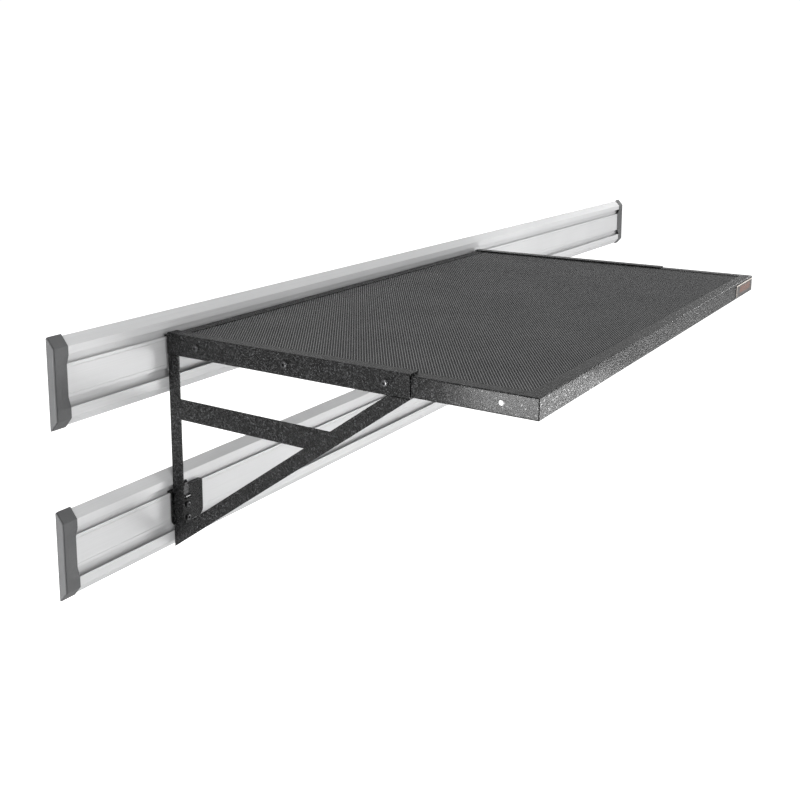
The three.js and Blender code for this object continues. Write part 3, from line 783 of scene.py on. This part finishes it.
def add_label():
    """A blank foil plate on the front flange: a pale rim and a few plain ruled lines."""
    low, high = millimetres("blank_label_plate")
    rim_y = low.y
    field_y = high.y - LABEL_BASE

    def block(x0, x1, y0, y1, z0, z1):
        corners = [(x0, z0), (x1, z0), (x1, z1), (x0, z1)]
        return prism(rounded([(x, z, LABEL_CORNER) for x, z in corners]), y0, y1, along_y)

    base = block(low.x, high.x, field_y, high.y, low.z, high.z)
    node = ["blank_label_plate"]
    piece("label_field", mesh_of("label_field", base), FOIL, "label_foil", "shelf", node, LABEL_EDGE)
    rim = LABEL_RIM
    small = RIM_CORNER
    outline = rounded([
        (low.x, low.z, small), (low.x + rim, low.z, small), (low.x + rim, high.z - rim, 0),
        (high.x, high.z - rim, small), (high.x, high.z, small), (low.x, high.z, LABEL_CORNER)])
    border = mesh_of("label_rim", prism(outline, rim_y, field_y, along_y))
    piece("label_rim", border, CREAM, "label_foil", "shelf")
    left, right = (low.x + (high.x - low.x) * share for share in LABEL_PRINT[:2])
    bottom, top = (low.z + (high.z - low.z) * share for share in LABEL_PRINT[2:])
    step = (top - bottom) / LABEL_LINES
    spans = [[bottom + step * (k + edge) for edge in LINE_SPAN] for k in range(LABEL_LINES)]
    lines = [block(left, right, rim_y + LINE_SUNK, field_y, *span) for span in spans]
    piece("label_lines", mesh_of("label_lines", together(*lines)), BROWN, "label_foil", "shelf")


# ---- brackets ------------------------------------------------------------------------------------

def add_side_channel(side):
    """A C of bent sheet, open towards the tray."""
    node = side + "_side_channel"
    low, high = millimetres(node)
    sheet, bend = CHANNEL_SHEET, CHANNEL_BEND
    web, lip = (low.x, high.x) if side == "left" else (high.x, low.x)
    inward = 1 if side == "left" else -1
    inner = bend - sheet + INNER_BEND
    outline = rounded([
        (web, low.z, bend), (lip, low.z, CUT_EDGE), (lip, low.z + sheet, CUT_EDGE),
        (web + inward * sheet, low.z + sheet, inner), (web + inward * sheet, high.z - sheet, inner),
        (lip, high.z - sheet, CUT_EDGE), (lip, high.z, CUT_EDGE), (web, high.z, bend)])
    body = mesh_of(node, prism(outline, low.y, high.y, along_y))
    z = CHANNEL_TOP + BOLT_Z
    holes = [prism(circle(BOLT_HOLE, (y, z)), web - REACH, web + REACH, along_x) for y in BOLT_PLACES]
    mesh = carved(body, holes)
    piece(side + "_channel_bent", mesh, HAMMERTONE, "hammertone_paint", "shelf", [node], CHANNEL_EDGE)


# ---- fasteners -----------------------------------------------------------------------------------

def threads(start, end, radius):
    """(radius, y) points of a threaded shank between two places."""
    root = radius * THREAD_ROOT
    points = []
    for k in range(int((end - start) / THREAD_PITCH)):
        y = start + k * THREAD_PITCH
        points += [(r, y + THREAD_PITCH * share)
                   for r, share in ((radius, 0.1), (radius, 0.35), (root, 0.6), (root, 0.85))]
    return points


def button_bolt(name, shank, head, height, length):
    """A button-head socket bolt along +Y from the underside of its head."""
    dome = []
    for k in range(DOME_STEPS):
        angle = math.pi / 2 * k / DOME_STEPS
        r = head * (DOME_TOP + (1 - DOME_TOP) * math.sin(angle))
        dome.append((r, -height * math.cos(angle) ** DOME_POWER))
    rim_width, rim_height = HEAD_RIM
    tip, taper = TIP
    profile = [(0, -height), (head * SOCKET, -height), *dome, (head, -rim_height), (head - rim_width, 0),
               (shank, 0), *threads(THREAD_START, length - tip, shank), (shank * taper, length),
               (0, length)]
    socket = prism(circle(head * SOCKET, sides=6), -height - PAST, -height * SOCKET_FLOOR, along_y)
    return carved(mesh_of(name, lathe(profile)), [socket])


def hex_nut(name, across, height, bore):
    """A hexagon nut on the Y axis with chamfered corners."""
    corner = across / math.sqrt(3)
    flat = across / 2
    slope = (corner - flat) * NUT_CHAMFER
    half = [(0, 0), (flat, 0), (corner, slope)]
    cone = lathe(half + [(r, height - y) for r, y in reversed(half)])
    hexagon = prism(circle(corner, sides=6), -PAST, height + PAST, along_y)
    body = carved(mesh_of(name, cone), [hexagon], "INTERSECT")
    return carved(body, [prism(circle(bore), -PAST, height + PAST, along_y)])


def stand(name, mesh, node, facing, material, slot):
    """One fastener in its CAD node's place. facing is the way the shared mesh's +Y axis points."""
    low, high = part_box(node)
    centre = (low + high) / 2
    turn = Vector((0, 1, 0)).rotation_difference(Vector(facing)).to_matrix()
    corners = [turn @ v.co for v in mesh.vertices]
    middle = Vector([(min(c[i] for c in corners) + max(c[i] for c in corners)) / 2 for i in range(3)])
    own = mesh.copy()
    own.transform(Matrix.Translation(centre - middle) @ turn.to_4x4())
    piece(name, own, material, slot, "shelf", [node])


def add_fasteners():
    tray_bolt = button_bolt("tray_bolt", *TRAY_BOLT)
    hook_bolt = button_bolt("hook_bolt", *HOOK_BOLT)
    nut = hex_nut("tray_nut", *TRAY_NUT)
    for side, inward in (("left", 1), ("right", -1)):
        for i in (1, 2, 3):
            node = f"{side}_tray_bolt_{i}"
            stand(node + "_socket", tray_bolt, node, (inward, 0, 0), BLACK, "black_steel")
            node = f"{side}_tray_nut_{i}"
            stand(node + "_hex", nut, node, (inward, 0, 0), ZINC, "zinc_steel")
        for place_name in ("lower", "upper"):
            for i in (1, 2):
                node = f"{side}_{place_name}_hook_bolt_{i}"
                stand(node + "_socket", hook_bolt, node, (0, 1, 0), BLACK, "black_steel")


# ---- welds ---------------------------------------------------------------------------------------

def weld_bead(start, end):
    """A round rippled bead from start to end, thinner at both ends."""
    start, end = Vector(start), Vector(end)
    axis = (end - start).normalized()
    turn = Vector((0, 0, 1)).rotation_difference(axis).to_matrix()
    steps = int((end - start).length / WELD_PITCH) * RIPPLE_STEPS
    sides = WELD_SIDES
    thin, growth = END_TAPER
    verts, faces = [], []
    for k in range(steps + 1):
        share = k / steps
        taper = min(1.0, growth * share + thin, growth * (1 - share) + thin)
        r = WELD_RADIUS * taper * (1 + WELD_RIPPLE * math.cos(TURN * k / RIPPLE_STEPS))
        centre = start + (end - start) * share
        for s in range(sides):
            offset = turn @ Vector((r * math.cos(TURN * s / sides), r * math.sin(TURN * s / sides), 0))
            verts.append(tuple(centre + offset))
    for k in range(steps):
        for s in range(sides):
            n = (s + 1) % sides
            faces.append((k * sides + s, k * sides + n, (k + 1) * sides + n, (k + 1) * sides + s))
    faces.append(tuple(range(sides)))
    faces.append(tuple(range(steps * sides, (steps + 1) * sides)))
    return verts, faces


def ground_seams(side):
    """Strips ground flush over the hairlines between a bracket's flat bars."""
    brace_low, brace_high = millimetres(side + "_cross_brace")
    low, high = millimetres(side + "_diagonal_brace")
    slope = (high.z - low.z) / (high.y - low.y)
    rise = DIAGONAL_WIDTH * math.hypot(1, slope)
    wall_side = high.y + BAR_GAP / 2

    def meeting(z):
        """Where the cross brace meets the diagonal at a height."""
        return high.y - (z - low.z - rise) / slope + BRACE_GAP / 2, z

    lines = [(meeting(brace_low.z), meeting(brace_high.z)),
             ((wall_side, brace_low.z), (wall_side, brace_high.z)),
             ((wall_side, low.z + SEAM_START), (wall_side, low.z + rise))]
    strips = []
    for start, end in lines:
        start, end = Vector(start), Vector(end)
        along = (end - start).normalized()
        across = Vector((-along.y, along.x)) * SEAM_WIDTH / 2
        outline = [tuple(p) for p in (start - across, end - across, end + across, start + across)]
        strips.append(prism(outline, brace_low.x - SEAM_PROUD, brace_high.x + SEAM_PROUD, along_x))
    return strips


def add_welds(side):
    """Weld beads on the brackets' inner faces, where bars meet the upright and the channel."""
    brace_low, brace_high = millimetres(side + "_cross_brace")
    upright_low, _ = millimetres(side + "_upright")
    diagonal_low, diagonal_high = millimetres(side + "_diagonal_brace")
    x = brace_high.x if side == "left" else brace_low.x
    y = brace_high.y
    foot = diagonal_low.z + SIDE_WELD[0]
    front = diagonal_low.y + TOP_WELD[0]
    top = diagonal_high.z
    beads = [
        weld_bead((x, y, brace_low.z + WELD_STOP), (x, y, brace_high.z - WELD_STOP)),
        weld_bead((x, y, foot), (x, y, foot + SIDE_WELD[1])),
        weld_bead((x, front, top), (x, front + TOP_WELD[1], top)),
        weld_bead(*[(x, upright_low.y + along, top) for along in UPRIGHT_WELD]),
    ]
    name = side + "_weld_beads"
    mesh = mesh_of(name, together(*beads, *ground_seams(side)))
    piece(name, mesh, HAMMERTONE, "hammertone_paint", "shelf")


# ---- CAD nodes that are shown as they are ----------------------------------------------------------

def dress(node, material, edge):
    """A carried-over CAD node: its material, and its edges eased by modifiers."""
    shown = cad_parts[node]
    shown.data.materials.clear()
    shown.data.materials.append(material)
    weld = shown.modifiers.new("weld", "WELD")
    weld.merge_threshold = MERGE_DISTANCE * MM
    flat = shown.modifiers.new("flat", "DECIMATE")
    flat.decimate_type = "DISSOLVE"
    flat.angle_limit = FLAT_ANGLE
    round_edges(shown, edge, 2)


def dress_nodes():
    for side in ("left", "right"):
        for part in ("upright", "diagonal_brace", "cross_brace", "lower_hook", "upper_hook"):
            dress(f"{side}_{part}", HAMMERTONE, BAR_EDGE)
        dress(side + "_hook_latch", BLACK, LATCH_EDGE)
        dress(side + "_latch_pin", ZINC, LATCH_EDGE)
    for i in (1, 2, 3):
        dress(f"deck_stiffener_{i}", HAMMERTONE, STIFFENER_EDGE)
    for rail in ("upper", "lower"):
        dress(rail + "_rail_cover_strip", SILVER, STRIP_EDGE)
        for i in range(1, SCREWS_A_RAIL + 1):
            dress(f"{rail}_wall_screw_{i}", ZINC, SCREW_EDGE)


# ---- floor, light and camera -----------------------------------------------------------------------

def add_floor():
    material, tree, shader = new_material("pale_floor", Roughness=0.9, Emission_Color=(1, 1, 1, 1))
    tone = ramp(tree, noise(tree, 0.8, 2), (0.3, 0.68), (0.7, 0.70))
    tree.links.new(tone, shader.inputs["Base Color"])
    glow = tree.nodes.new("ShaderNodeMath")
    glow.operation = "MULTIPLY"
    glow.inputs[1].default_value = FLOOR_GLOW
    path = tree.nodes.new("ShaderNodeLightPath")
    tree.links.new(path.outputs["Is Camera Ray"], glow.inputs[0])
    tree.links.new(glow.outputs["Value"], shader.inputs["Emission Strength"])
    half = FLOOR_SIZE / 2
    z = cad_box[0].z - FLOOR_DROP
    mesh = bpy.data.meshes.new("floor")
    corners = [(-half, -half, z), (half, -half, z), (half, half, z), (-half, half, z)]
    mesh.from_pydata(corners, [], [(0, 1, 2, 3)])
    mesh.materials.append(material)
    floor = bpy.data.objects.new("floor", mesh)
    bpy.context.scene.collection.objects.link(floor)


def add_world():
    """A white surround: what the camera sees of it is even, and its light comes mostly from the
    left and from overhead."""
    world = bpy.data.worlds.new("studio")
    world.use_nodes = True
    tree = world.node_tree
    tree.nodes.clear()
    output = tree.nodes.new("ShaderNodeOutputWorld")
    mix = tree.nodes.new("ShaderNodeMixShader")
    path = tree.nodes.new("ShaderNodeLightPath")
    tree.links.new(path.outputs["Is Camera Ray"], mix.inputs["Fac"])
    lighting, seen = (tree.nodes.new("ShaderNodeBackground") for _ in range(2))
    seen.inputs["Strength"].default_value = SURROUND_SEEN
    coordinates = tree.nodes.new("ShaderNodeTexCoord")
    split = tree.nodes.new("ShaderNodeSeparateXYZ")
    height = tree.nodes.new("ShaderNodeMapRange")
    height.inputs["To Min"].default_value = HORIZON_LIGHT
    height.inputs["To Max"].default_value = ZENITH_LIGHT
    side = tree.nodes.new("ShaderNodeMapRange")
    side.inputs["From Min"].default_value = -1
    side.inputs["To Min"].default_value, side.inputs["To Max"].default_value = SIDE_LIGHT
    strength = tree.nodes.new("ShaderNodeMath")
    strength.operation = "MULTIPLY"
    tree.links.new(coordinates.outputs["Generated"], split.inputs["Vector"])
    tree.links.new(split.outputs["Z"], height.inputs["Value"])
    tree.links.new(split.outputs["X"], side.inputs["Value"])
    tree.links.new(height.outputs["Result"], strength.inputs[0])
    tree.links.new(side.outputs["Result"], strength.inputs[1])
    tree.links.new(strength.outputs["Value"], lighting.inputs["Strength"])
    for background, socket in ((lighting, 1), (seen, 2)):
        background.inputs["Color"].default_value = (1, 1, 1, 1)
        tree.links.new(background.outputs["Background"], mix.inputs[socket])
    tree.links.new(mix.outputs["Shader"], output.inputs["Surface"])
    bpy.context.scene.world = world


def add_lamps():
    for i, lamp in enumerate(LAMPS):
        light = bpy.data.lights.new(f"softbox_{i + 1}", "AREA")
        light.shape = "RECTANGLE"
        light.size, light.size_y = lamp["size"]
        light.energy = lamp["power"]
        holder = bpy.data.objects.new(light.name, light)
        holder.location = lamp["place"]
        aim = Vector(lamp["at"]) - Vector(lamp["place"])
        holder.rotation_euler = aim.to_track_quat("-Z", "Y").to_euler()
        holder.visible_camera = False
        bpy.context.scene.collection.objects.link(holder)


def add_camera():
    data = bpy.data.cameras.new("camera")
    data.sensor_width = CAMERA_SENSOR
    data.lens = CAMERA_LENS
    data.shift_x, data.shift_y = CAMERA_SHIFT
    camera = bpy.data.objects.new("camera", data)
    forward = Vector((
        math.sin(CAMERA_YAW) * math.cos(CAMERA_PITCH),
        math.cos(CAMERA_YAW) * math.cos(CAMERA_PITCH),
        math.sin(CAMERA_PITCH)))
    camera.location = CAMERA_PLACE
    camera.rotation_euler = forward.to_track_quat("-Z", "Y").to_euler()
    bpy.context.scene.collection.objects.link(camera)
    bpy.context.scene.camera = camera


for rail_name in ("upper", "lower"):
    add_rail(rail_name)
    add_caps(rail_name)
add_tray()
add_deck()
add_label()
for side_name in ("left", "right"):
    add_side_channel(side_name)
    add_welds(side_name)
add_fasteners()
dress_nodes()
add_floor()
add_world()
add_lamps()
add_camera()
bpy.context.scene.view_settings.view_transform = "Standard"
